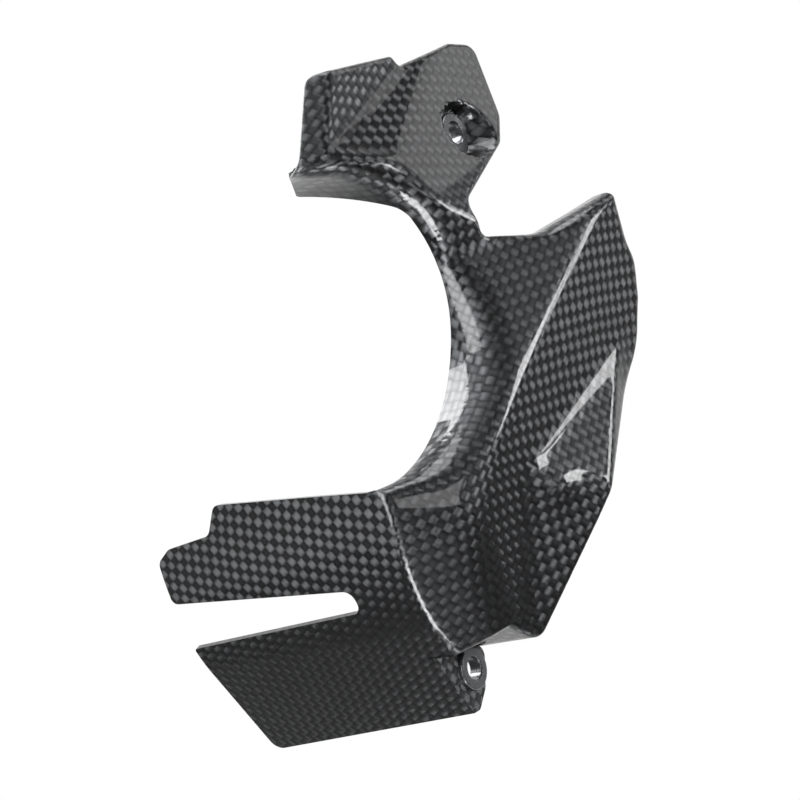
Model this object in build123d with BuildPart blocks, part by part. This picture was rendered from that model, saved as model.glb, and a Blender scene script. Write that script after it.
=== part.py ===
"""Sprocket cover: a thin carbon shell with two flanged bushes in its bolt holes.

Millimetres. X runs rearward on the motorbike, Y inboard and Z up. The origin is the
centre of the upper bolt hole, on the outer face of its seat.
"""
import os
from math import cos, hypot, radians, sin

from build123d import *

os.makedirs("parts", exist_ok=True)

# Laminate, and how far its edges fold inboard from the outer faces
skin = 1.6
lip_depth = 7.0
rear_wall_depth = 14.0

# Half the size of the construction solids, well beyond the cover on every side
far = 140.0
beyond_x = 60.0

# Arch opening over the sprocket, seen along Y
arch_radius = 42.0
arch_x = -64.0
arch_z = -48.0
arch_end_angle = 87.0
arch_edge_round = 2.4
arch_foot_z = arch_z - arch_radius

# Bolt seats and bushes, for M6 screws
bush_bore = 6.5
bush_barrel = 9.0
bush_flange = 12.0
bush_flange_thick = 1.2
bush_length = 4.0
bush_chamfer = 0.3
pocket_floor_radius = 7.4
pocket_mouth_radii = (12.0, 9.2)
pocket_mouth_y = -8.0
lower_bolt_x = -33.2
lower_bolt_z = -146.6
lug_seat_y = 22.0

# Scoop pressed into the head, given by the two ends of its lowest line
scoop_radius = 12.0
scoop_depth = 4.5
scoop_start = (-46.5, 1.5, 3.5)
scoop_exit = (-20.0, 0.9, 15.8)

# Tongue: the arm and the flange that reach inboard below the sprocket
tongue_length = 100.0
arm_length = 98.5
arm_middle = (-61.4, -110.0)
bend_x = -54.0
bend_z = -130.0
flange_foot_x = -37.0
flange_foot_z = -159.0
blade_foot_z = -139.0
lug_foot_z = -158.0
flange_run = (flange_foot_x - bend_x) / (flange_foot_z - bend_z)
sheet_rise = 12.0
tongue_side_x = -30.0

# Corners of the tongue's trim (y, z, corner radius), from the arm's root round the slot to the blade
tongue_corners = (
    (-50, arch_foot_z, 0.5), (12, arch_foot_z, 5), (38, arch_foot_z + 2.8, 10),
    (arm_length - 28.5, arch_foot_z + 6.8, 3), (arm_length - 23.5, arch_foot_z - 1.2, 3),
    (arm_length - 6.5, arch_foot_z - 2.3, 4), (arm_length - 1, arch_foot_z - 5.5, 3),
    (arm_length, -108.5, 2), (34, -115, 3.2),
    (34, -121.6, 3.2), (tongue_length, -123.3, 1), (tongue_length, -162.2, 3),
    (lug_seat_y, lug_foot_z, 1), (lug_seat_y, blade_foot_z, 0.5), (-50, blade_foot_z, 0.5),
)

# Corners of the lug's free side (x, z, corner radius), from its foot up to the flange's top
lug_corners = ((-34.5, lug_foot_z, 2), (-29.3, -153.5, 3), (-24.5, -143.5, 3), (-34.5, -136.5, 2))
lug_root_round = 0.3
lug_foot_round = 0.6
bolt_cut_length = 12.0

# Outer faces: a point (x, y, z), then the rise inboard per mm of x and per mm of z
middle_face = (-8.3, -15.0, -62.0, -0.144, -0.206)
inner_face = (-22.0, -5.0, -47.0, -0.53, 0.2)
inner_low_face = (-42.0, -1.4, -84.0, -0.593, 0.058)
centre_face = (-64.0, 8.0, -92.0, -0.75, -0.37)
blade_top_face = (-11.0, -7.0, -25.0, -0.75, 1.6)
spear_face = (-0.9, -11.0, -86.6, -0.38, 0.25)
low_face = (-21.3, -4.1, -105.7, -0.58, -0.12)
rim_face = (33.5, -17.3, -70.8, 0.114, -0.098)
head_face = (-37.0, -4.0, -16.0, -0.125, 0.219)
head_front_face = (-49.0, 2.0, 2.0, -0.9, 0.4)
neck_face = (-24.0, -7.0, -22.0, -0.45, -0.35)
ridge_round = 3.0
least_ridge_round = 1.0
least_edge_round = 0.6

# Where the arch lip ends inboard, given as faces like those above
arch_lip_faces = (
    (arch_x, 3.2, arch_z, 0.0, -0.2),
    (arch_x, 1.7, arch_z, 0.0, 0.0),
    (-34.0, 3.0, -20.0, -1.0, 0.5),
)
arch_lip_band = 6.0

# Corners of the outline (x, z, corner radius), from the head's tip round to the foot
head_corners = (
    (-49, 19.5, 5), (-15, 24.3, 1.5), (-12.8, 21.3, 1.5), (4, 25.5, 6), (12, 27.6, 4), (22.8, 27, 3.5),
    (18.5, 3, 8), (12.5, -5.5, 6),
)
blade_corners = (
    (-15.5, -22, 5), (-13, -32, 3.5), (6, -34.5, 20), (34.5, -26.5, 2.5), (41.5, -50, 40), (38.5, -74, 20),
    (1.5, -111.5, 60), (-24.5, -143.5, 3), (-34.5, -136.5, 2),
)

# The head's front end is trimmed along a slant, and its front edge has no fold
head_end = (-64.5, 11.9)
head_end_run = (0.81, 0.585)
head_end_height = 90.0
head_edge_zone = ((-70, -3.5), (-57, -3.5), (-43, 18.5), (-43, 26), (-70, 26))
rear_band_line = ((-18.0, -129.0), (-2.5, -108.3), (34.9, -70.5), (beyond_x, -57.0))


def face_plane(face, inset):
    """The plane of an outer face, moved inboard along its normal by the inset."""
    x, y, z, slope_x, slope_z = face
    plane = Plane(origin=(x, y, z), z_dir=(slope_x, -1.0, slope_z))
    return plane.offset(-inset)


def inside_box(point):
    """True for a point that isn't on the outside of the construction box."""
    return abs(point.X) < far - 1 and abs(point.Y) < far - 1 and abs(point.Z) < 1.5 * far - 1


def behind(faces, inset):
    """The convex solid inboard of all the given faces, with its ridges rounded."""
    with BuildPart() as solid:
        Box(2 * far, 2 * far, 3 * far)
        for face in faces:
            split(bisect_by=face_plane(face, inset), keep=Keep.BOTTOM)
        ridges = [e for e in solid.edges() if inside_box(e.center())]
        fillet(ridges, max(ridge_round - inset, least_ridge_round))
    return solid.part


def outer_form(inset):
    """Everything inboard of the cover's outer faces: blade, spear and head together."""
    blade = behind([middle_face, inner_face, inner_low_face, centre_face, blade_top_face], inset)
    spear = behind([spear_face, low_face, rim_face], inset)
    head = behind([head_face, head_front_face, neck_face], inset)
    return blade + spear + head


def front_outline(inset):
    """The cover's outline without the flange, seen along Y and swept through it."""
    turn = radians(arch_end_angle)
    arch_end = (arch_x + arch_radius * cos(turn), arch_z + arch_radius * sin(turn))
    corners = head_corners + blade_corners
    foot = (bend_x + flange_run * (blade_foot_z - bend_z), blade_foot_z)
    with BuildPart() as solid:
        with BuildSketch(Plane.XZ):
            with BuildLine():
                CenterArc((arch_x, arch_z), arch_radius, -90, 90 + arch_end_angle)
                FilletPolyline(arch_end, *[c[:2] for c in corners], foot, radius=[c[2] for c in corners])
                Line(foot, (bend_x, bend_z))
                ThreePointArc((bend_x, bend_z), arm_middle, (arch_x, arch_foot_z))
            make_face()
            if inset:
                offset(amount=-inset, kind=Kind.INTERSECTION)
        extrude(amount=far, both=True)
    return solid.part


def upper_pocket(grow):
    """The funnel down to the upper bolt seat, grown by the skin for its inner side."""
    with BuildPart() as solid:
        with BuildSketch(Plane.XZ.offset(-grow)):
            Circle(pocket_floor_radius + grow)
        with BuildSketch(Plane.XZ.offset(-pocket_mouth_y)):
            Ellipse(pocket_mouth_radii[0] + grow, pocket_mouth_radii[1] + grow)
        loft()
    return solid.part


def scoop(grow):
    """The round-bottomed dish that runs up across the head and over its top edge."""
    raised = Vector(0, scoop_depth - scoop_radius, 0)
    start = Vector(*scoop_start) + raised
    along = Vector(*scoop_exit) - Vector(*scoop_start)
    with BuildPart() as solid:
        with BuildSketch(Plane(origin=start, z_dir=along)):
            Circle(scoop_radius + grow)
        extrude(amount=along.length)
        with Locations(start, start + along):
            Sphere(scoop_radius + grow)
    return solid.part


def on_arch_edge(edge, radius):
    """True for the edges where the arch wall meets the outer faces."""
    middle = edge.center()
    start = edge @ 0
    end = edge @ 1
    on_wall = all(abs(hypot(p.X - arch_x, p.Z - arch_z) - radius) < 0.05 for p in (start, end))
    near = abs(hypot(middle.X - arch_x, middle.Z - arch_z) - radius) < 3
    across = hypot(end.X - start.X, end.Z - start.Z) > 1
    return on_wall and near and across and middle.Y < far / 2


def block(inset):
    """The cover as a solid mould, moved inward by the inset on every side."""
    with BuildPart() as solid:
        add(outer_form(inset))
        add(front_outline(inset), mode=Mode.INTERSECT)
        arch_edges = [e for e in solid.edges() if on_arch_edge(e, arch_radius + inset)]
        fillet(arch_edges, max(arch_edge_round - inset, least_edge_round))
        add(upper_pocket(inset), mode=Mode.SUBTRACT)
        add(scoop(inset), mode=Mode.SUBTRACT)
    return solid.part


def sweep_along_y(points, start_y, end_y):
    """A prism through the (x, z) points between two heights on Y."""
    with BuildPart() as solid:
        with BuildSketch(Plane.XZ.offset(-start_y)):
            with BuildLine():
                Polyline(*points, close=True)
            make_face()
        extrude(amount=start_y - end_y)
    return solid.part


def hollow_behind():
    """What is cut away inboard of the folded edges: arch lip, thin lip, rear wall, foot."""
    foot_z = rear_band_line[0][1]
    with BuildPart() as arch_cut:
        with BuildSketch(Plane.XZ):
            with Locations((arch_x, arch_z)):
                Circle(arch_radius + arch_lip_band)
        extrude(amount=far, both=True)
        add(behind(arch_lip_faces, 0), mode=Mode.INTERSECT)
    lip_zone = sweep_along_y([(-far, foot_z), *rear_band_line, (beyond_x, far), (-far, far)], -far, far)
    rear_zone = sweep_along_y([*rear_band_line, (beyond_x, foot_z)], -far, far)
    with BuildPart() as lip_cut:
        add(outer_form(lip_depth))
        add(lip_zone, mode=Mode.INTERSECT)
        with Locations(Plane(origin=(arch_x, 0, arch_z), z_dir=(0, 1, 0))):
            Cylinder(arch_radius + arch_lip_band, 4 * far, mode=Mode.SUBTRACT)
    rear_cut = outer_form(rear_wall_depth) & rear_zone
    foot_zone = [(-far, -1.5 * far), (beyond_x, -1.5 * far), (beyond_x, foot_z), (-far, foot_z)]
    foot_cut = sweep_along_y(foot_zone, lug_seat_y + skin, far)
    end_x, end_y = head_end
    with BuildPart() as head_end_cut:
        with Locations((end_x, end_y, 0)):
            Box(far, far, head_end_height)
        side = Plane(origin=(end_x, end_y, 0), z_dir=(-head_end_run[1], head_end_run[0], 0))
        split(bisect_by=side, keep=Keep.TOP)
    head_edge_cut = outer_form(skin) & sweep_along_y(head_edge_zone, -far, far)
    return [arch_cut.part, lip_cut.part, rear_cut, foot_cut, head_end_cut.part, head_edge_cut]


def tongue():
    """The arm and the flange: one bent sheet, trimmed, with a slot between them."""
    low_z = flange_foot_z - 12
    low_x = bend_x + flange_run * (low_z - bend_z)
    arm_top = (arch_x, arch_foot_z)
    with BuildPart() as sheet:
        with BuildSketch(Plane.XZ):
            with BuildLine():
                arm = ThreePointArc(arm_top, arm_middle, (bend_x, bend_z))
                high = arm @ 0 - (arm % 0) * sheet_rise
                Line(high, arm_top)
                Polyline((bend_x, bend_z), (low_x, low_z), (0, low_z), (0, high.Y), high)
            make_face()
            offset(amount=-skin, kind=Kind.INTERSECTION, mode=Mode.SUBTRACT)
        extrude(amount=far, both=True)
        with BuildSketch(Plane.YZ):
            with BuildLine():
                corners = [c[:2] for c in tongue_corners]
                FilletPolyline(*corners, radius=[c[2] for c in tongue_corners], close=True)
            make_face()
        extrude(amount=far, both=True, mode=Mode.INTERSECT)
        with Locations((tongue_side_x - far, 0, arch_foot_z)):
            Box(2 * far, 4 * far, 4 * far, mode=Mode.INTERSECT)
        add(outer_form(0), mode=Mode.INTERSECT)
    return sheet.part


def lug():
    """The flat plate that closes the flange's outboard end and seats the lower bush."""
    top_x = bend_x + flange_run * (blade_foot_z - bend_z)
    foot_x = bend_x + flange_run * (lug_foot_z - bend_z)
    with BuildPart() as plate:
        with BuildSketch(Plane.XZ.offset(-lug_seat_y)):
            with BuildLine():
                FilletPolyline(
                    (top_x, blade_foot_z), (foot_x, lug_foot_z), *[c[:2] for c in lug_corners],
                    (top_x + 1, blade_foot_z + 0.4),
                    radius=[lug_root_round, lug_foot_round, *[c[2] for c in lug_corners], lug_root_round],
                    close=True,
                )
            make_face()
        extrude(amount=-skin)
    return plate.part


def cover():
    """The whole shell, with its bolt holes."""
    with BuildPart() as solid:
        add(block(0))
        add(block(skin), mode=Mode.SUBTRACT)
        for cut in hollow_behind():
            add(cut, mode=Mode.SUBTRACT)
        add(tongue())
        add(lug())
        with Locations(Plane(origin=(0, 0, 0), z_dir=(0, 1, 0))):
            Cylinder(bush_barrel / 2, bolt_cut_length, mode=Mode.SUBTRACT)
        with Locations(Plane(origin=(lower_bolt_x, lug_seat_y, lower_bolt_z), z_dir=(0, 1, 0))):
            Cylinder(bush_barrel / 2, bolt_cut_length, mode=Mode.SUBTRACT)
    return solid.part


def bush(x, y, z):
    """A flanged sleeve, its flange on the outer face of the seat at (x, y, z)."""
    with BuildPart() as sleeve:
        with BuildSketch(Plane(origin=(x, y, z), x_dir=(1, 0, 0), z_dir=(0, 1, 0))):
            Circle(bush_barrel / 2)
            Circle(bush_bore / 2, mode=Mode.SUBTRACT)
        extrude(amount=bush_length - bush_flange_thick)
        with BuildSketch(Plane(origin=(x, y, z), x_dir=(1, 0, 0), z_dir=(0, -1, 0))):
            Circle(bush_flange / 2)
            Circle(bush_bore / 2, mode=Mode.SUBTRACT)
        extrude(amount=bush_flange_thick)
        chamfer(sleeve.faces().sort_by(Axis.Y)[0].edges(), bush_chamfer)
    return sleeve.part


cover_shell = cover()
cover_shell.label = "cover_shell"
export_step(cover_shell, "parts/cover_shell.step")

upper_bolt_bush = bush(0, 0, 0)
upper_bolt_bush.label = "upper_bolt_bush"
export_step(upper_bolt_bush, "parts/upper_bolt_bush.step")

lower_bolt_bush = bush(lower_bolt_x, lug_seat_y, lower_bolt_z)
lower_bolt_bush.label = "lower_bolt_bush"
export_step(lower_bolt_bush, "parts/lower_bolt_bush.step")

for piece in (cover_shell, upper_bolt_bush, lower_bolt_bush):
    print(piece.label, piece.is_valid, len(piece.solids()), round(piece.volume, 1), piece.bounding_box())
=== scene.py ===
"""Sprocket cover for a motorbike: a woven carbon shell with two flanged bushes in its holes."""

from math import cos, pi, radians, sin

import bmesh
import bpy
import numpy as np
from bpy.props import FloatProperty, FloatVectorProperty, PointerProperty
from mathutils import Matrix, Vector
from mathutils.geometry import delaunay_2d_cdt


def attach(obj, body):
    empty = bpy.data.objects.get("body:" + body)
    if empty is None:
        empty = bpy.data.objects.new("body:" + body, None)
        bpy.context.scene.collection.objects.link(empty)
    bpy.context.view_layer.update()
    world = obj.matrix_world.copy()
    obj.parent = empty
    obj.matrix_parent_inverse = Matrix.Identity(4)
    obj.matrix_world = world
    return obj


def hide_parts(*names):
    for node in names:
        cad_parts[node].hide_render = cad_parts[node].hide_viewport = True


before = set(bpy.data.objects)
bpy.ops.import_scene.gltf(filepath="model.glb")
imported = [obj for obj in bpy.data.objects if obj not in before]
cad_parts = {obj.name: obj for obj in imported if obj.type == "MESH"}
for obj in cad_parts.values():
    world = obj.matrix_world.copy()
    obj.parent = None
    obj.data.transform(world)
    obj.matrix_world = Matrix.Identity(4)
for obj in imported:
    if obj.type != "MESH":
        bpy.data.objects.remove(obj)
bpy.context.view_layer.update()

bl_info = {
    "name": "Sprocket cover",
    "version": (1, 0, 0),
    "blender": (4, 5, 0),
    "location": "View3D > Sidebar > Cover",
    "description": "Woven carbon sprocket cover with flanged bushes",
    "category": "Object",
}

MM = 0.001

# Places and faces repeat the part's own values, in mm and degrees
ARCH_X, ARCH_Z, ARCH_R, ARCH_END = -64.0, -48.0, 42.0, 87.0
# Foot curve (x, z): through the arm's middle to the bend, then straight, this much x per z
ARM_MIDDLE = (-61.4, -110.0)
BEND = (-54.0, -130.0)
FLANGE_RUN = 17.0 / -29.0
FOOT_Z = -139.0
LUG_Y, LUG_LOW = 22.0, -158.0
LUG_HOLE = (-33.2, -146.6)
HOLE_R = 4.5
LAMINATE, FOLD = 1.6, 7.0

# A face is (x, y, z, rise per x, rise per z)
BLADE_FACES = (
    (-8.3, -15.0, -62.0, -0.144, -0.206),
    (-22.0, -5.0, -47.0, -0.53, 0.2),
    (-42.0, -1.4, -84.0, -0.593, 0.058),
    (-64.0, 8.0, -92.0, -0.75, -0.37),
    (-11.0, -7.0, -25.0, -0.75, 1.6),
)
SPEAR_FACES = (
    (-0.9, -11.0, -86.6, -0.38, 0.25),
    (-21.3, -4.1, -105.7, -0.58, -0.12),
    (33.5, -17.3, -70.8, 0.114, -0.098),
)
HEAD_FACES = (
    (-37.0, -4.0, -16.0, -0.125, 0.219),
    (-49.0, 2.0, 2.0, -0.9, 0.4),
    (-24.0, -7.0, -22.0, -0.45, -0.35),
)
# Low dome: x, z, spread and height
DOME = (-13.0, -104.5, 5.5, 1.1)
DISH_FACES = (
    (-52.0, 5.3, 3.5, -0.045, -0.042),
    (-46.5, 6.0, 3.5, -0.31, 0.418),
    (-54.1, 5.2, -1.5, -0.133, 1.0),
)
LIP_FACES = (
    (ARCH_X, 3.2, ARCH_Z, 0.0, -0.2),
    (ARCH_X, 1.7, ARCH_Z, 0.0, 0.0),
    (-34.0, 3.0, -20.0, -1.0, 0.5),
)
LIP_CUT = (-64.5, 11.9, 0.0, 0.72, 0.0)
# Funnel: radius of its floor, half axes of its oval mouth and the mouth's height
POCKET_FLOOR, POCKET_MOUTH, POCKET_MOUTH_Y = 7.4, (12.0, 9.2), -8.0
# Difference in height over which faces blend at their crease
BLADE_BLEND, FOOT_BLEND = 1.7, 2.5
SPEAR_BLEND, DOME_BLEND, SPEAR_SIDE_BLEND = 0.9, 2.0, 0.8
HEAD_BLEND, SPEAR_BLADE_BLEND, HEAD_BLADE_BLEND = 1.2, 2.4, 1.0
DISH_BLEND, DISH_RIM_BLEND, POCKET_RIM_BLEND, LIP_BLEND = 1.8, 0.9, 0.8, 3.0
# Radius of the roll into the fold, by place along the outline
ARCH_ROLL_MIN, FRONT_ROLL, FREE_ROLL, ROOT_ROLL = 3.5, 0.4, 1.3, 1.2
REAR_ROLL, TOP_ROLL = 1.8, 4.0
REAR_Z = -66.0
# Corners are (x, z, radius), and (y, z, radius) on the tongue
OUTLINE_CORNERS = (
    (-49, 19.5, 5), (-15, 24.3, 1.5), (-12.8, 21.3, 1.5), (4, 25.5, 6), (12, 27.6, 4),
    (22.8, 27, 3.5), (18.5, 3, 8), (12.5, -5.5, 6), (-15.5, -22, 5), (-13, -32, 3.5),
    (6, -34.5, 20), (34.5, -26.5, 2.5), (41.5, -50, 40), (38.5, -74, 20), (1.5, -111.5, 60),
    (-24.5, -143.5, 3), (-34.5, -136.5, 2),
)
TONGUE_CORNERS = (
    (38, -87.2, 10), (70, -83.2, 3), (75, -91.2, 3), (92, -92.3, 4), (97.5, -95.5, 3),
    (98.5, -108.5, 2), (34, -115, 3.1), (34, -121.6, 3.1), (99.98, -123.3, 1), (99.98, -162.0, 3),
)
LUG_CORNERS = ((-34.5, LUG_LOW, 2), (-29.3, -153.5, 3), (-24.5, -143.5, 3), (-34.5, -136.5, 2))

# Outline sections: the arch, the head's front edge, the free edge and the tongue's root
ARCH, FRONT, FREE, ROOT = range(4)

CLOTH_UNIT = 100.0  # mm of cloth to one unit of its UV map
WELD = 0.02
SHARP_ANGLE = radians(50)

# Stage, in metres: the way from the camera to the backdrop, the camera's right and its place
BACKDROP_WAY = (0.811, 0.585, 0.0)
CAMERA_RIGHT = (0.562, -0.78, -0.277)
CAMERA_AT = (-0.3706, -0.2233, -0.0693)
LAMP_AIM = (-0.01, 0.02, -0.07)

# Lamps: name, azimuth from the outboard side and elevation in degrees, distance, width and height
# in metres, and brightness
LAMPS = (
    ("key box", 19, -1, 0.8, 0.18, 0.16, 12.0),
    ("spear box", 33, 4, 0.8, 0.17, 0.18, 8.0),
    ("head box", 48, 33, 0.8, 0.26, 0.22, 1.1),
    ("veil box", -9, -4, 0.8, 0.16, 0.16, 2.5),
    ("side strip", -90, 8, 0.8, 0.50, 0.90, 5.5),
    ("under box", -62, -48, 0.8, 0.26, 0.22, 13.0),
    ("top box", 10, 74, 0.9, 0.60, 0.60, 3.6),
    ("back box", -145, 55, 0.8, 0.50, 0.45, 9.0),
    ("arm box", -132, -10, 0.8, 0.45, 0.35, 0.15),
)


def srgb(code):
    """Linear colour from an sRGB hex value."""
    c = np.array([int(code[i:i + 2], 16) for i in (1, 3, 5)]) / 255
    c = np.where(c <= 0.04045, c / 12.92, ((c + 0.055) / 1.055) ** 2.4)
    return (*c.tolist(), 1.0)


def smooth_max(a, b, k):
    """The larger of two heights, with the crease between them rounded over a difference of k."""
    h = np.maximum(k - np.abs(a - b), 0.0) / k
    return np.maximum(a, b) + h * h * k / 4


def step_up(v, a, b):
    """0 before a, 1 after b, smooth between."""
    t = np.clip((v - a) / (b - a), 0, 1)
    return t * t * (3 - 2 * t)


def face_height(face, x, z):
    """Height y of a flat face."""
    return face[1] + face[3] * (x - face[0]) + face[4] * (z - face[2])


def group_height(faces, x, z, k):
    """Height of a convex group of faces: their smooth maximum."""
    y = face_height(faces[0], x, z)
    for face in faces[1:]:
        y = smooth_max(y, face_height(face, x, z), k)
    return y


def cover_height(x, z):
    """Outer face: the most outboard of the blade, the spear and the head, with a low dome on it.

    The blade's creases grow rounder lower down, and the spear's grow rounder near the dome.
    """
    away = ((x - DOME[0]) ** 2 + (z - DOME[1]) ** 2) / DOME[2] ** 2
    blade = group_height(BLADE_FACES, x, z, BLADE_BLEND + FOOT_BLEND * step_up(-z, 60, 120))
    spear = group_height(SPEAR_FACES[:2], x, z, SPEAR_BLEND + DOME_BLEND * np.exp(-away / 3))
    spear = smooth_max(spear, face_height(SPEAR_FACES[2], x, z), SPEAR_SIDE_BLEND)
    head = group_height(HEAD_FACES, x, z, HEAD_BLEND)
    y = smooth_max(smooth_max(-blade, -spear, SPEAR_BLADE_BLEND), -head, HEAD_BLADE_BLEND)
    return -y - DOME[3] * np.exp(-away)


def dish_height(x, z):
    """Dish in the head: the least of its three flat walls, met in soft valleys."""
    y = -face_height(DISH_FACES[0], x, z)
    for face in DISH_FACES[1:]:
        y = smooth_max(y, -face_height(face, x, z), DISH_BLEND)
    return -y


def pocket_height(x, z):
    """Funnel round the upper bolt: a flat floor, then a straight wall up to an oval mouth."""
    r = np.maximum(np.hypot(x, z), 1e-6)
    oval = 1 / np.hypot(x / r / POCKET_MOUTH[0], z / r / POCKET_MOUTH[1])
    wall = POCKET_MOUTH_Y * (r - POCKET_FLOOR) / (oval - POCKET_FLOOR)
    return np.where(r > POCKET_FLOOR, wall, 0.0)


def pressed_height(x, z):
    """The outer face with the dish and the funnel pressed into it."""
    y = smooth_max(cover_height(x, z), dish_height(x, z), DISH_RIM_BLEND)
    return smooth_max(y, pocket_height(x, z), POCKET_RIM_BLEND)


def rounded_path(corners, step, close=False):
    """Points along straight runs joined by arcs at the corners (a, b, radius)."""
    p = np.array([c[:2] for c in corners], float)
    r = np.array([c[2] for c in corners], float)
    n = len(p)
    if not close:
        r[0] = r[-1] = 0
    d1 = p[np.arange(n) - 1] - p
    d2 = p[(np.arange(n) + 1) % n] - p
    d1 /= np.linalg.norm(d1, axis=1)[:, None]
    d2 /= np.linalg.norm(d2, axis=1)[:, None]
    half = np.arccos(np.clip((d1 * d2).sum(1), -1, 1)) / 2
    mid = d1 + d2
    mid /= np.maximum(np.linalg.norm(mid, axis=1), 1e-9)[:, None]
    centre = p + mid * (r / np.sin(half))[:, None]
    reach = (r / np.tan(half))[:, None]
    bends = []
    for i in range(n):
        if r[i] == 0:
            bends.append(p[i][None])
            continue
        s, e = p[i] + d1[i] * reach[i] - centre[i], p[i] + d2[i] * reach[i] - centre[i]
        start = np.arctan2(s[1], s[0])
        turn = (np.arctan2(e[1], e[0]) - start + pi) % (2 * pi) - pi
        count = max(3, int(abs(turn) * r[i] / step) + 2, int(abs(turn) / 0.25) + 2)
        t = start + turn * np.linspace(0, 1, count)
        bends.append(centre[i] + r[i] * np.stack([np.cos(t), np.sin(t)], 1))
    runs = []
    for i in range(n):
        runs.append(bends[i])
        if close or i < n - 1:
            a, b = bends[i][-1], bends[(i + 1) % n][0]
            count = int(np.linalg.norm(b - a) / step) + 1
            runs.append(a + (b - a) * np.linspace(0, 1, count + 1)[1:-1, None])
    return np.concatenate(runs)


def arc_points(centre, radius, start, end, step):
    """Points along an arc, in degrees from start to end."""
    count = int(abs(radians(end - start)) * radius / step) + 2
    t = np.radians(np.linspace(start, end, count))
    return np.array(centre) + radius * np.stack([np.cos(t), np.sin(t)], 1)


def arc_through(a, b, c, step):
    """Points along the arc from a through b to c."""
    a, b, c = (np.array(p, float) for p in (a, b, c))
    m = np.array([b - a, c - b])
    centre = np.linalg.solve(m, np.array([m[0] @ (a + b), m[1] @ (b + c)]) / 2)
    t0, t1, t2 = (np.degrees(np.arctan2(*(p - centre)[::-1])) for p in (a, b, c))
    t1 = t0 + (t1 - t0 + 180) % 360 - 180
    t2 = t1 + (t2 - t1 + 180) % 360 - 180
    return arc_points(centre, np.linalg.norm(a - centre), t0, t2, step)


def ring_points(centre, radius, count=40):
    """Points round a circle."""
    a = np.linspace(0, 2 * pi, count, endpoint=False)
    return np.array(centre) + radius * np.stack([np.cos(a), np.sin(a)], 1)


def ring_area(p):
    """Area inside a closed line, negative when it runs clockwise."""
    q = np.roll(p, -1, 0)
    return (p[:, 0] * q[:, 1] - q[:, 0] * p[:, 1]).sum() / 2


def smooth_ring(values, span):
    """Weighted average of each value and its neighbours round a closed ring."""
    kernel = np.hanning(2 * span + 3)[1:-1]
    wide = np.concatenate([values[-span:], values, values[:span]])
    return np.convolve(wide, kernel / kernel.sum(), "valid")


def unit(v):
    """Rows scaled to length 1."""
    return v / np.maximum(np.linalg.norm(v, axis=-1, keepdims=True), 1e-9)


def to_border(q, border):
    """Distance from each point to a closed line, the place along it, and whether it is inside."""
    a, b = border, np.roll(border, -1, 0)
    ab = b - a
    far, place, inside = [], [], []
    for part in np.array_split(q, max(1, len(q) // 2000)):
        d = part[:, None] - a
        t = np.clip((d * ab).sum(-1) / np.maximum((ab * ab).sum(-1), 1e-12), 0, 1)
        off = np.linalg.norm(d - t[..., None] * ab, axis=-1)
        k = off.argmin(1)
        row = np.arange(len(part))
        far.append(off[row, k])
        place.append(k + t[row, k])
        cross = (a[:, 1] > part[:, None, 1]) != (b[:, 1] > part[:, None, 1])
        rise = np.where(ab[:, 1] == 0, 1, ab[:, 1])
        x_at = a[:, 0] + (part[:, None, 1] - a[:, 1]) / rise * ab[:, 0]
        inside.append((cross & (part[:, None, 0] < x_at)).sum(1) % 2 == 1)
    return np.concatenate(far), np.concatenate(place), np.concatenate(inside)


def fill(border, extra, step, gap):
    """Triangles inside a closed line: its own points, extra ones and a staggered grid."""
    lo, hi = border.min(0), border.max(0)
    gx, gy = np.meshgrid(np.arange(lo[0], hi[0], step), np.arange(lo[1], hi[1], step))
    gx = gx + (np.arange(gx.shape[0]) % 2)[:, None] * step / 2
    grid = np.stack([gx.ravel(), gy.ravel()], 1)
    off, _, inside = to_border(grid, border)
    pts = np.concatenate([border, extra, grid[inside & (off > gap)]])
    n = len(border)
    edges = np.stack([np.arange(n), (np.arange(n) + 1) % n], 1)
    found = delaunay_2d_cdt(list(map(Vector, pts.tolist())), edges.tolist(), [], 1, 1e-6)
    return np.array(found[0]), np.array(found[2])


def cut_round(flat, tri, centre, radius):
    """Triangles outside a circle."""
    mid = flat[tri].mean(1) - centre
    return tri[np.hypot(mid[:, 0], mid[:, 1]) > radius * 0.99]


def solve_slopes(tri, pos, goal, u, turns):
    """Values u per vertex whose slopes over the triangles are nearest the goal vectors.

    Least squares by conjugate gradients, with each triangle weighted by its area. goal is
    (triangles, 3, fields).
    """
    p = pos[tri]
    edge = np.stack([p[:, 2] - p[:, 1], p[:, 0] - p[:, 2], p[:, 1] - p[:, 0]], 1)
    normal = np.cross(p[:, 1] - p[:, 0], p[:, 2] - p[:, 0])
    twice = np.linalg.norm(normal, axis=1)
    slope = np.cross(unit(normal)[:, None], edge) / np.maximum(twice, 1e-9)[:, None, None]
    weight = (twice / 2)[:, None, None]
    flat, count = tri.ravel(), len(pos)

    def gather(values):
        return np.stack([np.bincount(flat, values[..., k].ravel(), count) for k in range(2)], 1)

    def spread(field):
        grad = np.einsum("tcj,tcm->tjm", slope, field[tri])
        return gather(np.einsum("tcj,tjm->tcm", slope, grad * weight)) + 1e-9 * field

    diagonal = np.bincount(flat, ((slope * slope).sum(-1) * weight[..., 0]).ravel(), count)
    diagonal = diagonal[:, None] + 1e-9
    rest = gather(np.einsum("tcj,tjm->tcm", slope, goal * weight)) - spread(u)
    lead = rest / diagonal
    size = (rest * lead).sum(0)
    for _ in range(turns):
        image = spread(lead)
        pace = size / np.maximum((lead * image).sum(0), 1e-30)
        u = u + pace * lead
        rest = rest - pace * image
        scaled = rest / diagonal
        new = (rest * scaled).sum(0)
        lead = scaled + new / np.maximum(size, 1e-30) * lead
        size = new
    return u


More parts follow.
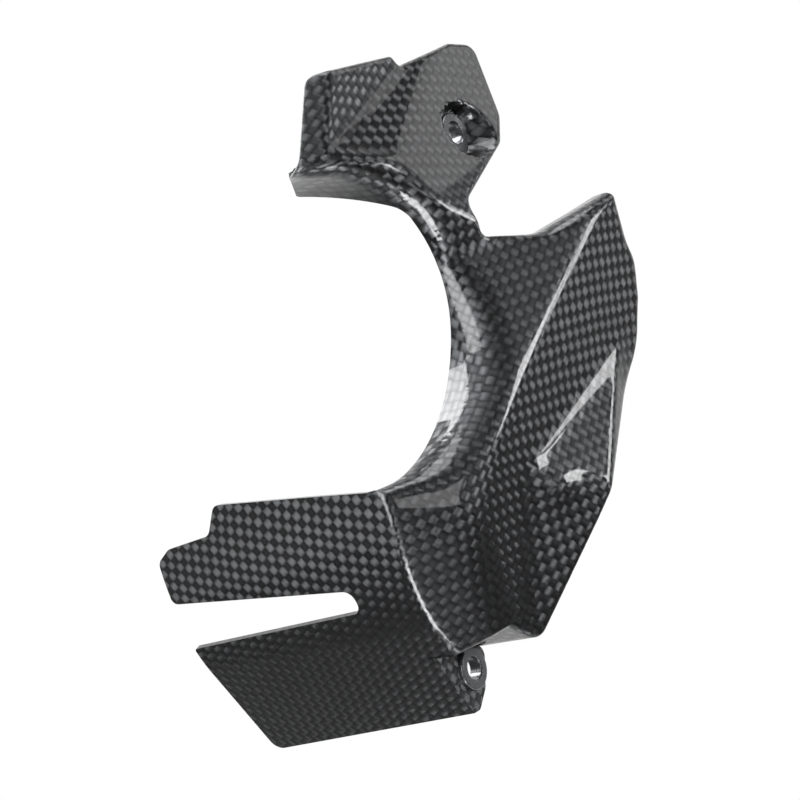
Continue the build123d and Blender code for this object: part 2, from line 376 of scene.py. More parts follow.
def outline_points(step):
    """The cover's outline seen along Y, and the section each point belongs to."""
    end = (ARCH_X + ARCH_R * cos(radians(ARCH_END)), ARCH_Z + ARCH_R * sin(radians(ARCH_END)))
    foot = (BEND[0] + FLANGE_RUN * (FOOT_Z - BEND[1]), FOOT_Z)
    arch = arc_points((ARCH_X, ARCH_Z), ARCH_R, -90, ARCH_END, step)
    free = rounded_path([(*end, 0), *OUTLINE_CORNERS, (*foot, 0)], step)
    root = np.linspace(foot, BEND, int(np.hypot(foot[0] - BEND[0], foot[1] - BEND[1]) / step) + 2)
    bend = arc_through(BEND, ARM_MIDDLE, (ARCH_X, ARCH_Z - ARCH_R), step)
    parts = (arch, free[1:], root[1:], bend[1:-1])
    pts = np.concatenate(parts)
    kind = np.repeat((ARCH, FREE, ROOT, ROOT), [len(p) for p in parts])
    kind[(kind == FREE) & (pts[:, 0] < -44) & (pts[:, 1] > -10)] = FRONT
    return pts, kind


def edge_tables(pts, kind, arch_roll):
    """Roll radius and inboard end of the fold at each outline point.

    The arch's roll is as large as its lip leaves room for, and the blade's upper edge rolls more
    towards the rear. The fold is twice as deep down the rear edge, and at the foot it ends on the
    lug's back.
    """
    x, z = pts[:, 0], pts[:, 1]
    y = cover_height(x, z)
    lip = np.minimum(group_height(LIP_FACES, x, z, LIP_BLEND), face_height(LIP_CUT, x, z))
    arch = np.clip(lip - y - 0.3, ARCH_ROLL_MIN, arch_roll)
    roll = np.choose(kind, [arch, FRONT_ROLL, FREE_ROLL, ROOT_ROLL])
    roll = np.where((kind == FREE) & (x > 0) & (z < REAR_Z), REAR_ROLL, roll)
    top = (kind == FREE) & (x > -8) & (z < -20) & (z > -45)
    upper = FREE_ROLL + (TOP_ROLL - FREE_ROLL) * step_up(x, -8, 8)
    roll = smooth_ring(np.where(top, upper, roll), 5)
    end = y + FOLD * (1 + step_up(-z, -REAR_Z, 8 - REAR_Z) * (x > 0) + (x <= 0) * (z < -100))
    foot = step_up(-z, 126, 131)
    end = end * (1 - foot) + (LUG_Y + LAMINATE) * foot
    end = np.choose(kind, [lip, y + roll, end, end])
    return roll, np.maximum(end, y + roll + 0.1)


def tow_slopes(tri, pos):
    """Slopes the cloth coordinates should have, one square to each tow in its triangle's plane.

    Seen along Y the tows run at 48 and 135 degrees, turned back a little at the head and foot.
    """
    p = pos[tri]
    normal = unit(np.cross(p[:, 1] - p[:, 0], p[:, 2] - p[:, 0]))
    normal *= -np.sign(normal[:, 1:2])
    mid = p.mean(1)
    head = step_up(mid[:, 2], -30, -5)
    low = step_up(mid[:, 0] - mid[:, 2] * 0.5, 30, 70)
    goals = []
    for angle in (np.radians(48 - 10 * head), np.radians(135 - 8 * head - 5 * low)):
        x, z = np.cos(angle), np.sin(angle)
        tow = unit(np.stack([x, -(normal[:, 0] * x + normal[:, 2] * z) / normal[:, 1], z], 1))
        goals.append(np.cross(normal, tow))
    return np.stack(goals, -1)


def cloth_over(flat, tri, border):
    """Cloth coordinates (u, v) in mm over the front.

    They are solved on a mesh of 4 mm, carried over by a weighted local slope, and settled on the
    fine one.
    """
    rough, coarse = fill(border[::4], np.zeros((0, 2)), 4.0, 1.6)
    low, high = (np.stack([q[:, 0], cover_height(q[:, 0], q[:, 1]), q[:, 1]], 1)
                 for q in (rough, flat))
    u = solve_slopes(coarse, low, tow_slopes(coarse, low), np.zeros((len(low), 2)), 900)
    start = np.zeros((len(flat), 2))
    for part in np.array_split(np.arange(len(flat)), 20):
        w = np.exp(-((high[part][:, None] - low) ** 2).sum(-1) / 9.0) + 1e-12
        w /= w.sum(1)[:, None]
        mid, u_mid = w @ rough, w @ u
        dx, du = rough - mid[:, None], u - u_mid[:, None]
        spread = np.einsum("nk,nki,nkj->nij", w, dx, dx) + 1e-6 * np.eye(2)
        slope = np.linalg.solve(spread, np.einsum("nk,nki,nkm->nim", w, dx, du))
        start[part] = u_mid + np.einsum("ni,nim->nm", flat[part] - mid, slope)
    return solve_slopes(tri, high, tow_slopes(tri, high), start, 60)


def front_skin(pts, roll, inward, step):
    """Front: y = pressed_height(x, z), dropping by a quarter circle of the roll near the outline.

    Rings of points stand where the roll has turned by each of a few angles.
    """
    turns = np.radians([12, 24, 36, 48, 60, 75])
    rings = np.concatenate([pts + inward * (roll * (1 - np.cos(t)))[:, None] for t in turns])
    want = np.concatenate([roll * (1 - np.cos(t)) for t in turns])
    off, _, inside = to_border(rings, pts)
    good = inside & (np.abs(off - want) < 0.03 * want + 0.004) & (want > 0.02)
    good &= np.hypot(rings[:, 0], rings[:, 1]) > POCKET_FLOOR
    inner = np.concatenate([ring_points((0, 0), HOLE_R), rings[good]])
    flat, tri = fill(pts, inner, step, 0.45)
    tri = cut_round(flat, tri, (0, 0), HOLE_R)
    off, place, _ = to_border(flat, pts)
    first = place.astype(int) % len(pts)
    part = place - np.floor(place)
    r = roll[first] * (1 - part) + roll[(first + 1) % len(pts)] * part
    over = np.maximum(r - off, 0)
    drop = r - np.sqrt(np.maximum(r * r - over * over, 0))
    x, z = flat[:, 0], flat[:, 1]
    skin = np.stack([x, pressed_height(x, z) + drop, z], 1)
    stretch = r * np.arcsin(np.clip(over / r, 0, 1)) - over
    return skin, flat, tri, first, stretch


def edge_folds(pts, kind, roll, end, inward, own, outward, rows=12):
    """Folds: the outline carried along Y from the roll's foot to the fold's end."""
    n = len(pts)
    start = pressed_height(pts[:, 0], pts[:, 1]) + roll
    y = start[:, None] + (np.maximum(end, start + 0.1) - start)[:, None] * np.linspace(0, 1, rows)
    wall = np.stack([np.repeat(pts[:, :1], rows, 1), y, np.repeat(pts[:, 1:], rows, 1)], -1)
    reach = y - start[:, None] + (roll * (pi / 2 - 1))[:, None]
    cloth = own[:, None] + outward[:, None] * reach[..., None]
    index = np.arange(n * rows).reshape(n, rows)
    after = np.roll(index, -1, 0)
    quads = np.stack([index[:, :-1], index[:, 1:], after[:, 1:], after[:, :-1]], -1)
    live = ~((kind == ROOT) & np.roll(kind == ROOT, -1))
    facing = np.stack([-inward[:, 0], np.zeros(n), -inward[:, 1]], 1)
    facing = np.repeat(facing[live], rows - 1, 0)
    return wall.reshape(-1, 3), quads[live].reshape(-1, 4), cloth.reshape(-1, 2), facing, start


def tongue_sheet(pts, kind, roll, start, own, outward, hand, step):
    """Tongue: the outline's foot curve x(z) carried along Y and trimmed to its corners in (y, z).

    Its cloth coordinates are its own unrolled sheet, turned and moved to run on from the front's.
    """
    root = np.flatnonzero(kind == ROOT)
    root = np.concatenate([[root[0] - 1], root, [0]])
    foot = pts[root]
    z_low, z_high = -163.0, -82.0  # just past the tongue at both ends
    low = (foot[0, 0] + FLANGE_RUN * (z_low - foot[0, 1]), z_low)
    high = (ARCH_X - 0.1, z_high)
    line = np.concatenate([[low], foot, [high]])
    run = np.concatenate([[0], np.cumsum(np.linalg.norm(np.diff(line, axis=0), axis=1))])
    side = np.stack([start[root], foot[:, 1]], 1)
    corners = [(*side[-1], 0), (side[-1, 0] + 3, -90, 5), *TONGUE_CORNERS,
               (LUG_Y, LUG_LOW, 0), (LUG_Y, FOOT_Z, 0), (*side[0], 0)]
    border = np.concatenate([side, rounded_path(corners, step)[1:-1]])
    border = border[np.linalg.norm(border - np.roll(border, 1, 0), axis=1) > 1e-4]
    yz, tri = fill(border, np.zeros((0, 2)), step * 1.1, 0.5)
    x, s = (np.interp(yz[:, 1], line[:, 1], values) for values in (line[:, 0], run))
    a = np.stack([np.interp(side[:, 1], line[:, 1], run), side[:, 0]], 1)
    b = own[root] + outward[root] * (roll[root] * (pi / 2 - 1))[:, None]
    left, _, right = np.linalg.svd((a - a.mean(0)).T @ (b - b.mean(0)))
    turn = left @ np.diag([1, hand * np.sign(np.linalg.det(left @ right))]) @ right
    cloth = (np.stack([s, yz[:, 0]], 1) - a.mean(0)) @ turn + b.mean(0)
    return np.stack([x, yz[:, 0], yz[:, 1]], 1), tri, cloth


def lug_plate(step):
    """Lug: a flat plate at the seat's height, with the lower bolt's hole."""
    top = (BEND[0] + FLANGE_RUN * (FOOT_Z - BEND[1]), FOOT_Z)
    low = (BEND[0] + FLANGE_RUN * (LUG_LOW - BEND[1]), LUG_LOW)
    bend = np.linspace(top, low, int((FOOT_Z - low[1]) / step) + 2)
    free = rounded_path([(*low, 0), *LUG_CORNERS, (top[0] + 1, FOOT_Z + 0.4, 0)], step)
    border = np.concatenate([bend, free[1:]])
    xz, tri = fill(border, ring_points(LUG_HOLE, HOLE_R), step, 0.4)
    tri = cut_round(xz, tri, np.array(LUG_HOLE), HOLE_R)
    # The cloth lies at 45 degrees
    cloth = np.stack([xz[:, 0] + xz[:, 1], xz[:, 1] - xz[:, 0]], 1) * 0.7071
    return np.stack([xz[:, 0], np.full(len(xz), LUG_Y), xz[:, 1]], 1), tri, cloth


def cover_sheet(step, arch_roll):
    """The laminate's outer skin: points, polygons turned outward and cloth coordinates, in mm."""
    pts, kind = outline_points(step)
    roll, end = edge_tables(pts, kind, arch_roll)
    way = unit(np.roll(pts, -1, 0) - np.roll(pts, 1, 0))
    inward = np.stack([-way[:, 1], way[:, 0]], 1) * np.sign(ring_area(pts))
    skin, flat, tri, first, stretch = front_skin(pts, roll, inward, step)
    cloth = cloth_over(flat, tri, pts)

    own = cloth[:len(pts)]
    hand = np.sign(ring_area(own) * ring_area(pts))
    run = unit(np.roll(own, -1, 0) - np.roll(own, 1, 0))
    outward = np.stack([run[:, 1], -run[:, 0]], 1) * np.sign(ring_area(own))
    outward = unit(np.stack([smooth_ring(outward[:, 0], 3), smooth_ring(outward[:, 1], 3)], 1))
    cloth = cloth + outward[first] * stretch[:, None]

    wall, quads, wall_cloth, facing, start = edge_folds(
        pts, kind, roll, end, inward, own, outward)
    tongue, tongue_tri, tongue_cloth = tongue_sheet(
        pts, kind, roll, start, own, outward, hand, step)
    lug, lug_tri, lug_cloth = lug_plate(step)
    outboard = np.array([[0.0, -1.0, 0.0]])
    forward = np.array([[-1.0, 0.0, 0.0]])
    points, faces, count = [], [], 0
    for part, poly, out in ((skin, tri, outboard), (wall, quads, facing),
                            (tongue, tongue_tri, forward), (lug, lug_tri, outboard)):
        a, b, c = (part[poly[:, k]] for k in range(3))
        normal = np.cross(b - a, c - a)
        wrong = (normal * out).sum(1) < 0
        poly = np.where(wrong[:, None], poly[:, ::-1], poly) + count
        points.append(part)
        faces += poly.tolist()
        count += len(part)
    cloth = np.concatenate([cloth, wall_cloth, tongue_cloth, lug_cloth])
    return np.concatenate(points), faces, cloth


def bush_rings(size, count=96):
    """Bush: its half section, a sleeve with an outboard flange, carried round the Y axis."""
    bore, barrel, flange = size.bore / MM / 2, size.barrel / MM / 2, size.flange / MM / 2
    thick, length, edge = size.flange_thick / MM, size.length / MM, size.chamfer / MM
    section = rounded_path((
        (bore + edge, -thick, 0.1), (flange - edge, -thick, 0.12), (flange, edge - thick, 0.12),
        (flange, 0, 0.05), (barrel, 0, 0.05), (barrel, length - thick, 0.1),
        (bore, length - thick, 0.1), (bore, edge - thick, 0.1),
    ), 0.6, close=True)
    a = np.linspace(0, 2 * pi, count, endpoint=False)
    r, y = section[:, 0], section[:, 1]
    level = np.broadcast_to(y, (count, len(r)))
    points = np.stack([np.outer(np.cos(a), r), level, np.outer(np.sin(a), r)], -1)
    index = np.arange(count * len(r)).reshape(count, -1)
    side, after = np.roll(index, -1, 1), np.roll(index, -1, 0)
    faces = np.stack([index, side, np.roll(side, -1, 0), after], -1)
    return points.reshape(-1, 3), faces.reshape(-1, 4).tolist()


def new_piece(name, points, faces):
    """An object at the origin with its points in mm turned to metres."""
    mesh = bpy.data.meshes.new(name)
    mesh.from_pydata((points * MM).tolist(), [], faces)
    obj = bpy.data.objects.new(name, mesh)
    bpy.context.scene.collection.objects.link(obj)
    return obj


def add_node(tree, kind, settings=None, inputs=None):
    """A node with its settings and inputs: values, sockets, or nodes for their first outputs."""
    node = tree.nodes.new(kind)
    for key, value in (settings or {}).items():
        setattr(node, key, value)
    for key, value in (inputs or {}).items():
        if isinstance(value, bpy.types.Node):
            value = value.outputs[0]
        if isinstance(value, bpy.types.NodeSocket):
            tree.links.new(value, node.inputs[key])
        else:
            node.inputs[key].default_value = value
    return node


def new_material(name):
    """An empty material and its node tree."""
    material = bpy.data.materials.new(name)
    material.use_nodes = True
    material.node_tree.nodes.clear()
    return material, material.node_tree


def carbon_weave(look):
    """Plain weave of 3k carbon tows, laid wet in epoxy and lacquered.

    Each tow is a bundle of dark, shiny fibres, so it lights up when a lamp stands square to it and
    goes black when it doesn't: the two ways of the weave swap over from one face of the cover to
    the next. The clear lacquer over it is smooth, and gives the hard glints along the creases.
    """
    material, tree = new_material("lacquered carbon weave")
    cloth = add_node(tree, "ShaderNodeUVMap", {"uv_map": "cloth"})
    # The tows wander by up to 0.6 mm over 11 mm
    drift = add_node(tree, "ShaderNodeTexNoise", {"noise_dimensions": "2D"},
                     {"Vector": cloth, "Scale": 9.0, "Detail": 1.0})
    slack = add_node(tree, "ShaderNodeVectorMath", {"operation": "MULTIPLY_ADD"},
                     {0: drift.outputs["Color"], 1: (0.006, 0.006, 0.0), 2: cloth})
    # One tow to a unit
    tows = add_node(tree, "ShaderNodeVectorMath", {"operation": "SCALE"},
                    {0: slack, "Scale": CLOTH_UNIT * MM / look.tow_pitch})
    cell = add_node(tree, "ShaderNodeVectorMath", {"operation": "FLOOR"}, {0: tows})
    within = add_node(tree, "ShaderNodeVectorMath", {"operation": "FRACTION"}, {0: tows})
    middle = add_node(tree, "ShaderNodeVectorMath", {"operation": "SUBTRACT"},
                      {0: within, 1: (0.5, 0.5, 0.0)})
    corner = add_node(tree, "ShaderNodeSeparateXYZ", {}, {0: cell})
    place = add_node(tree, "ShaderNodeSeparateXYZ", {}, {0: middle})
    both = add_node(tree, "ShaderNodeMath", {"operation": "ADD"},
                    {0: corner, 1: corner.outputs[1]})
    odd = add_node(tree, "ShaderNodeMath", {"operation": "FLOORED_MODULO"}, {0: both, 1: 2.0})
    along = add_node(tree, "ShaderNodeMix", {"data_type": "FLOAT"},
                     {0: odd, 2: place.outputs[1], 3: place})
    across = add_node(tree, "ShaderNodeMix", {"data_type": "FLOAT"},
                      {0: odd, 2: place, 3: place.outputs[1]})
    # A tow rises over the next one in half a wave, and its section is a flat oval
    wave = add_node(tree, "ShaderNodeMath", {"operation": "MULTIPLY"}, {0: along, 1: pi})
    crown = add_node(tree, "ShaderNodeMath", {"operation": "COSINE"}, {0: wave})
    twice = add_node(tree, "ShaderNodeMath", {"operation": "MULTIPLY"}, {0: across, 1: 2.0})
    flank = add_node(tree, "ShaderNodeMath", {"operation": "ABSOLUTE"}, {0: twice})
    side = add_node(tree, "ShaderNodeMath", {"operation": "POWER"}, {0: flank, 1: 3.0})
    oval = add_node(tree, "ShaderNodeMath", {"operation": "MULTIPLY_ADD"},
                    {0: side, 1: -0.3, 2: 1.0})
    rise = add_node(tree, "ShaderNodeMath", {"operation": "MULTIPLY"}, {0: crown, 1: oval})
    # Bundles of fibres, drawn at 0.15 mm because single ones of 0.007 mm can't show
    own = add_node(tree, "ShaderNodeTexWhiteNoise", {"noise_dimensions": "2D"}, {"Vector": cell})
    tow_at = add_node(tree, "ShaderNodeCombineXYZ", {}, {0: across, 1: along})
    strand = add_node(tree, "ShaderNodeVectorMath", {"operation": "MULTIPLY_ADD"},
                      {0: tow_at, 1: (16.0, 1.2, 0.0), 2: own.outputs["Color"]})
    fibres = add_node(tree, "ShaderNodeTexNoise", {},
                      {"Vector": strand, "Scale": 1.0, "Detail": 2.0})
    height = add_node(tree, "ShaderNodeMath", {"operation": "MULTIPLY_ADD"},
                      {0: fibres, 1: 0.02, 2: rise})
    relief = add_node(tree, "ShaderNodeBump", {}, {"Distance": look.crimp, "Height": height})
    # Share of fibre colour over resin: less at a tow's ends, which dip under their neighbours, and
    # at its sides, partly for the resin showing there and partly as painted shade where the tow
    # sinks and rounds away, and a little different from strand to strand and from cell to cell
    end_resin_and_shade = add_node(tree, "ShaderNodeMapRange", {}, {0: crown, 1: 0.0, 2: 1.0, 3: 0.5, 4: 1.0})
    side_resin_and_shade = add_node(tree, "ShaderNodeMapRange", {},
                         {0: side, 1: 0.0, 2: 1.0, 3: 1.0, 4: 0.7})
    streak = add_node(tree, "ShaderNodeMapRange", {}, {0: fibres, 1: 0.0, 2: 1.0, 3: 0.7, 4: 1.2})
    batch = add_node(tree, "ShaderNodeMapRange", {},
                     {0: own.outputs["Value"], 1: 0.0, 2: 1.0, 3: 0.88, 4: 1.1})
    # Resin and painted shade together: fibre colour thinned at each tow's sunken ends and rounded
    # sides
    body = add_node(tree, "ShaderNodeMath", {"operation": "MULTIPLY"}, {0: end_resin_and_shade, 1: side_resin_and_shade})
    mottle = add_node(tree, "ShaderNodeMath", {"operation": "MULTIPLY"}, {0: streak, 1: batch})
    shade = add_node(tree, "ShaderNodeMath", {"operation": "MULTIPLY"}, {0: body, 1: mottle})
    colour = add_node(tree, "ShaderNodeMix", {"data_type": "RGBA"},
                      {0: shade, 6: look.resin_colour, 7: look.fibre_colour})
    grain = add_node(tree, "ShaderNodeTangent", {"direction_type": "UV_MAP", "uv_map": "cloth"})
    turn = add_node(tree, "ShaderNodeMath", {"operation": "MULTIPLY"}, {0: odd, 1: 0.25})
    shader = add_node(tree, "ShaderNodeBsdfPrincipled", {}, {
        "Base Color": colour.outputs[2], "Metallic": 1.0, "Roughness": look.fibre_roughness,
        "Anisotropic": 1.0, "Anisotropic Rotation": turn, "Tangent": grain, "Normal": relief,
        "Coat Weight": 1.0, "Coat Roughness": look.lacquer_roughness, "Coat IOR": 1.45})
    add_node(tree, "ShaderNodeOutputMaterial", {}, {0: shader})
    return material


def cut_laminate():
    """Edge of the laminate, sawn, sanded and lacquered: near black and duller than the skin."""
    material, tree = new_material("sanded laminate edge")
    where = add_node(tree, "ShaderNodeTexCoord")
    # Cut ends of the tows, about 0.6 mm across, a little paler than the resin between them
    ends = add_node(tree, "ShaderNodeTexNoise", {},
                    {"Vector": where.outputs["Object"], "Scale": 1 / (0.6 * MM), "Detail": 2.0})
    tone = add_node(tree, "ShaderNodeMix", {"data_type": "RGBA"},
                    {0: ends, 6: srgb("#040405"), 7: srgb("#141416")})
    haze = add_node(tree, "ShaderNodeMapRange", {}, {0: ends, 1: 0.3, 2: 0.7, 3: 0.4, 4: 0.6})
    shader = add_node(tree, "ShaderNodeBsdfPrincipled", {}, {
        "Base Color": tone.outputs[2], "Roughness": haze,
        "Coat Weight": 0.3, "Coat Roughness": 0.1})
    add_node(tree, "ShaderNodeOutputMaterial", {}, {0: shader})
    return material


def bush_metal(look):
    """Aluminium, turned, blasted and anodised clear: soft grey, with satin glints on chamfers."""
    material, tree = new_material("anodised aluminium")
    where = add_node(tree, "ShaderNodeTexCoord")
    # Blasting leaves pits of 0.05 mm, drawn at 0.3 mm because smaller ones can't show
    pits = add_node(tree, "ShaderNodeTexNoise", {},
                    {"Vector": where.outputs["Object"], "Scale": 1 / (0.3 * MM), "Detail": 2.0})
    satin = add_node(tree, "ShaderNodeMapRange", {}, {0: pits, 1: 0.3, 2: 0.7, 3: 0.22, 4: 0.36})
    relief = add_node(tree, "ShaderNodeBump", {}, {"Distance": 0.01 * MM, "Height": pits})
    shader = add_node(tree, "ShaderNodeBsdfPrincipled", {}, {
        "Base Color": look.metal_colour, "Metallic": 1.0, "Roughness": satin,
        "Normal": relief})
    add_node(tree, "ShaderNodeOutputMaterial", {}, {0: shader})
    return material


def floor_paint(look):
    """Matt emulsion paint, rolled: plain and pale, with no glint."""
    material, tree = new_material("matt white paint")
    shader = add_node(tree, "ShaderNodeBsdfPrincipled", {}, {
        "Base Color": look.floor_colour, "Roughness": 0.9, "Specular IOR Level": 0.2})
    add_node(tree, "ShaderNodeOutputMaterial", {}, {0: shader})
    return material


def studio_world(look):
    """Dim room with a white backdrop, which the camera and the lacquer facing it see as white."""
    world = bpy.data.worlds.new("studio")
    world.use_nodes = True
    tree = world.node_tree
    tree.nodes.clear()
    path = add_node(tree, "ShaderNodeLightPath")
    seen = add_node(tree, "ShaderNodeMath", {"operation": "MAXIMUM"},
                    {0: path.outputs["Is Camera Ray"], 1: path.outputs["Is Transmission Ray"]})
    where = add_node(tree, "ShaderNodeTexCoord")
    toward = add_node(tree, "ShaderNodeVectorMath", {"operation": "DOT_PRODUCT"},
                      {0: where.outputs["Generated"], 1: BACKDROP_WAY})
    # White within 40 degrees of the backdrop's middle, fading into the dim room by 80
    backdrop = add_node(tree, "ShaderNodeMapRange", {"interpolation_type": "SMOOTHSTEP"},
                        {0: toward.outputs["Value"], 1: 0.15, 2: 0.75, 3: 0.0, 4: 1.0})
    glint = add_node(tree, "ShaderNodeMath", {"operation": "MULTIPLY"},
                     {0: path.outputs["Is Glossy Ray"], 1: backdrop})
    share = add_node(tree, "ShaderNodeMath", {"operation": "MAXIMUM"}, {0: seen, 1: glint})
    room = add_node(tree, "ShaderNodeBackground", {},
                    {"Color": (1, 1, 1, 1), "Strength": look.room_light})
    white = add_node(tree, "ShaderNodeBackground", {}, {"Color": (1, 1, 1, 1), "Strength": 1.0})
    both = add_node(tree, "ShaderNodeMixShader", {}, {0: share, 1: room, 2: white})
    add_node(tree, "ShaderNodeOutputWorld", {}, {0: both})
    return world


def soft_box(name, azimuth, elevation, distance, width, height, brightness):
    """Rectangular lamp aimed at the cover, of one brightness over its face."""
    a, e = radians(azimuth), radians(elevation)
    toward = Vector((sin(a) * cos(e), -cos(a) * cos(e), sin(e)))
    light = bpy.data.lights.new(name, "AREA")
    light.shape = "RECTANGLE"
    light.size, light.size_y = width, height
    light.energy = brightness * pi * width * height
    lamp = bpy.data.objects.new(name, light)
    bpy.context.scene.collection.objects.link(lamp)
    lamp.location = Vector(LAMP_AIM) + toward * distance
    lamp.rotation_mode = "QUATERNION"
    lamp.rotation_quaternion = (-toward).to_track_quat("-Z", "Y")
    lamp.visible_camera = False


class CoverLaminateSettings(bpy.types.PropertyGroup):
    """Sizes and finish of the woven laminate."""

    thickness: FloatProperty(
        name="Thickness", description="Laminate thickness",
        default=LAMINATE * MM, min=0.5 * MM, max=3 * MM, unit="LENGTH", precision=4)
    arch_roll: FloatProperty(
        name="Arch roll", description="Largest radius of the roll round the arch",
        default=8 * MM, min=4 * MM, max=9 * MM, unit="LENGTH", precision=4)
    mesh_step: FloatProperty(
        name="Mesh step", description="Distance between points of the skin",
        default=1 * MM, min=0.8 * MM, max=3 * MM, unit="LENGTH", precision=4)
    tow_pitch: FloatProperty(
        name="Tow pitch", description="Width of one tow of the cloth",
        default=2.4 * MM, min=1 * MM, max=6 * MM, unit="LENGTH", precision=4)
    crimp: FloatProperty(
        name="Crimp", description="Height a tow rises by as it crosses another",
        default=0.07 * MM, min=0, max=0.3 * MM, unit="LENGTH", precision=5)
    fibre_colour: FloatVectorProperty(
        name="Fibre colour", description="Colour of the carbon fibres",
        default=srgb("#606163"), size=4, min=0, max=1, subtype="COLOR")
    resin_colour: FloatVectorProperty(
        name="Resin colour", description="Colour between the tows",
        default=srgb("#030303"), size=4, min=0, max=1, subtype="COLOR")
    fibre_roughness: FloatProperty(
        name="Fibre roughness", description="Roughness of the tows under the lacquer",
        default=0.36, min=0, max=1, subtype="FACTOR")
    lacquer_roughness: FloatProperty(
        name="Lacquer roughness", description="Roughness of the clear lacquer",
        default=0.03, min=0, max=1, subtype="FACTOR")


class CoverBushSettings(bpy.types.PropertyGroup):
    """Sizes and finish of the bushes."""

    bore: FloatProperty(
        name="Bore", description="Bore for the bolt",
        default=6.5 * MM, unit="LENGTH", precision=4)
    barrel: FloatProperty(
        name="Barrel", description="Diameter of the barrel",
        default=9 * MM, unit="LENGTH", precision=4)
    flange: FloatProperty(
        name="Flange", description="Diameter of the flange",
        default=12 * MM, unit="LENGTH", precision=4)
    flange_thick: FloatProperty(
        name="Flange thickness", description="Thickness of the flange",
        default=1.2 * MM, unit="LENGTH", precision=4)
    length: FloatProperty(
        name="Length", description="Length of the whole bush",
        default=4 * MM, unit="LENGTH", precision=4)
    chamfer: FloatProperty(
        name="Chamfer", description="Chamfer on the flange's face",
        default=0.3 * MM, unit="LENGTH", precision=5)
    metal_colour: FloatVectorProperty(
        name="Metal colour", description="Colour of the anodised metal",
        default=srgb("#87888a"), size=4, min=0, max=1, subtype="COLOR")


class CoverStageSettings(bpy.types.PropertyGroup):
    """Floor, lamps and camera."""

    lamp_level: FloatProperty(
        name="Lamp level", description="Brightness of all lamps together",
        default=1.0, min=0, max=4, subtype="FACTOR")
    room_light: FloatProperty(
        name="Room light", description="Plain light from all round",
        default=0.1, min=0, max=1, subtype="FACTOR")
    floor_colour: FloatVectorProperty(
        name="Floor colour", description="Colour of the floor",
        default=srgb("#e6e6e6"), size=4, min=0, max=1, subtype="COLOR")
    floor_radius: FloatProperty(
        name="Floor radius", description="Radius of the round floor",
        default=0.5, unit="LENGTH")
    floor_drop: FloatProperty(
        name="Floor drop", description="Floor's distance below the upper bolt",
        default=0.9, unit="LENGTH")
    lens: FloatProperty(
        name="Lens", description="Focal length",
        default=67.5, min=20, max=200, unit="CAMERA")


class COVER_OT_laminate(bpy.types.Operator):
    """Build the woven carbon cover in place of the solid one"""

    bl_idname = "cover.laminate"
    bl_label = "Build Cover Laminate"

    def execute(self, context):
        look = context.scene.cover_laminate
        points, faces, cloth = cover_sheet(look.mesh_step / MM, look.arch_roll / MM)
        piece = new_piece("cover_laminate", points, faces)
        mesh = piece.data
        layer = mesh.uv_layers.new(name="cloth")
        corner = np.zeros(len(mesh.loops), np.int32)
        mesh.loops.foreach_get("vertex_index", corner)
        layer.data.foreach_set("uv", (cloth[corner] / CLOTH_UNIT).astype(np.float32).ravel())
        seams = bmesh.new()
        seams.from_mesh(mesh)
        bmesh.ops.remove_doubles(seams, verts=seams.verts, dist=WELD * MM)
        seams.to_mesh(mesh)
        seams.free()
        wall = piece.modifiers.new("laminate", "SOLIDIFY")
        wall.thickness = look.thickness
        wall.offset = -1
        wall.use_even_offset = False
        wall.material_offset_rim = 1
        graph = context.evaluated_depsgraph_get()
        solid = bpy.data.meshes.new_from_object(piece.evaluated_get(graph))
        piece.modifiers.clear()
        piece.data = solid
        solid.materials.clear()
        solid.materials.append(carbon_weave(look))
        solid.materials.append(cut_laminate())
        solid.shade_smooth()
        solid.set_sharp_from_angle(angle=SHARP_ANGLE)
        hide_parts("cover_shell")
        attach(piece, "root")
        return {"FINISHED"}


class COVER_OT_bushes(bpy.types.Operator):
    """Build the two flanged bushes in place of the solid ones"""

    bl_idname = "cover.bushes"
    bl_label = "Build Bushes"

    def execute(self, context):
        look = context.scene.cover_bushes
        metal = bush_metal(look)
        points, faces = bush_rings(look)
        lower = (LUG_HOLE[0], LUG_Y, LUG_HOLE[1])
        for name, place in (("upper_bolt_bush", (0, 0, 0)), ("lower_bolt_bush", lower)):
            piece = new_piece(name + "_turned", points + np.array(place), faces)
            skin = bmesh.new()
            skin.from_mesh(piece.data)
            bmesh.ops.recalc_face_normals(skin, faces=skin.faces)
            skin.to_mesh(piece.data)
            skin.free()
            piece.data.materials.append(metal)
            piece.data.shade_smooth()
            piece.data.set_sharp_from_angle(angle=SHARP_ANGLE)
            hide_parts(name)
            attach(piece, "root")
        return {"FINISHED"}


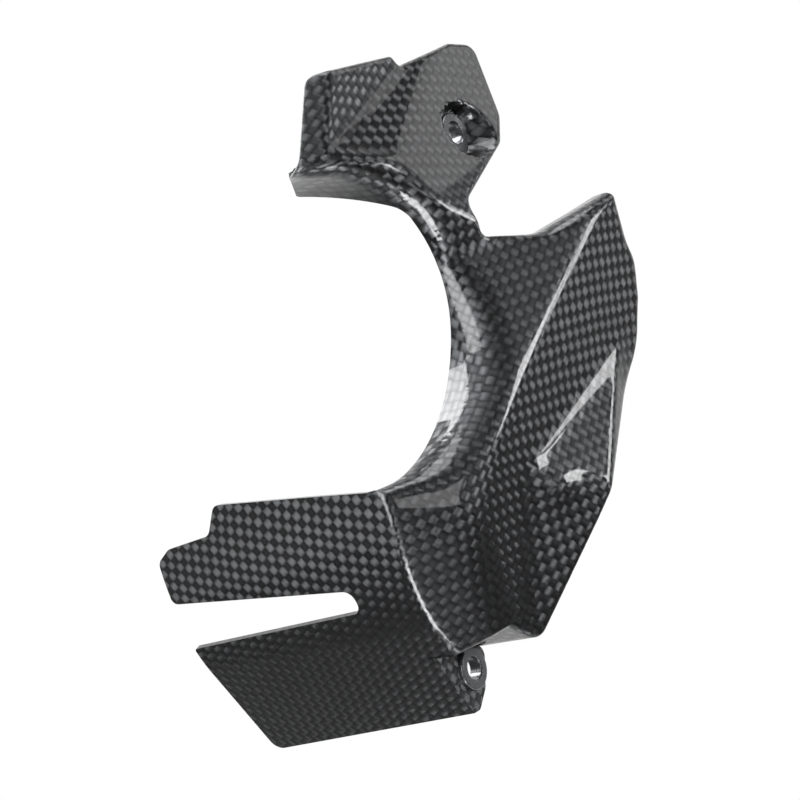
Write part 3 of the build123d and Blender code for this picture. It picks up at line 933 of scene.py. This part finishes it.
class COVER_OT_stage(bpy.types.Operator):
    """Set up the floor, the lamps, the world and the camera"""

    bl_idname = "cover.stage"
    bl_label = "Set Up Stage"

    def execute(self, context):
        look = context.scene.cover_stage
        scene = context.scene
        rim = ring_points((0, 0), look.floor_radius / MM, 128)
        points = np.stack([rim[:, 0], rim[:, 1], np.full(len(rim), -look.floor_drop / MM)], 1)
        floor = new_piece("floor", points, [list(range(len(rim)))])
        floor.data.materials.append(floor_paint(look))
        scene.world = studio_world(look)
        for *place, brightness in LAMPS:
            soft_box(*place, brightness * look.lamp_level)
        lens = bpy.data.cameras.new("camera")
        lens.lens = look.lens
        lens.sensor_width = 36
        lens.clip_start = 0.01
        camera = bpy.data.objects.new("camera", lens)
        scene.collection.objects.link(camera)
        back = -Vector(BACKDROP_WAY).normalized()
        right = Vector(CAMERA_RIGHT)
        right = (right - back * right.dot(back)).normalized()
        turn = Matrix((right, back.cross(right), back)).transposed()
        camera.matrix_world = Matrix.Translation(CAMERA_AT) @ turn.to_4x4()
        scene.camera = camera
        scene.view_settings.view_transform = "Standard"
        return {"FINISHED"}


class COVER_PT_build(bpy.types.Panel):
    """Steps and settings for the sprocket cover"""

    bl_label = "Sprocket Cover"
    bl_space_type = "VIEW_3D"
    bl_region_type = "UI"
    bl_category = "Cover"

    def draw(self, context):
        for step, group in (("cover.laminate", context.scene.cover_laminate),
                            ("cover.bushes", context.scene.cover_bushes),
                            ("cover.stage", context.scene.cover_stage)):
            column = self.layout.column(align=True)
            for name in group.bl_rna.properties.keys():
                if name not in ("rna_type", "name"):
                    column.prop(group, name)
            column.operator(step)


CLASSES = (CoverLaminateSettings, CoverBushSettings, CoverStageSettings,
           COVER_OT_laminate, COVER_OT_bushes, COVER_OT_stage, COVER_PT_build)


def register():
    for cls in CLASSES:
        bpy.utils.register_class(cls)
    bpy.types.Scene.cover_laminate = PointerProperty(type=CoverLaminateSettings)
    bpy.types.Scene.cover_bushes = PointerProperty(type=CoverBushSettings)
    bpy.types.Scene.cover_stage = PointerProperty(type=CoverStageSettings)


def unregister():
    del bpy.types.Scene.cover_laminate, bpy.types.Scene.cover_bushes, bpy.types.Scene.cover_stage
    for cls in reversed(CLASSES):
        bpy.utils.unregister_class(cls)


def main():
    """Build every piece and the stage."""
    register()
    bpy.ops.cover.laminate()
    bpy.ops.cover.bushes()
    bpy.ops.cover.stage()


if __name__ == "__main__":
    main()
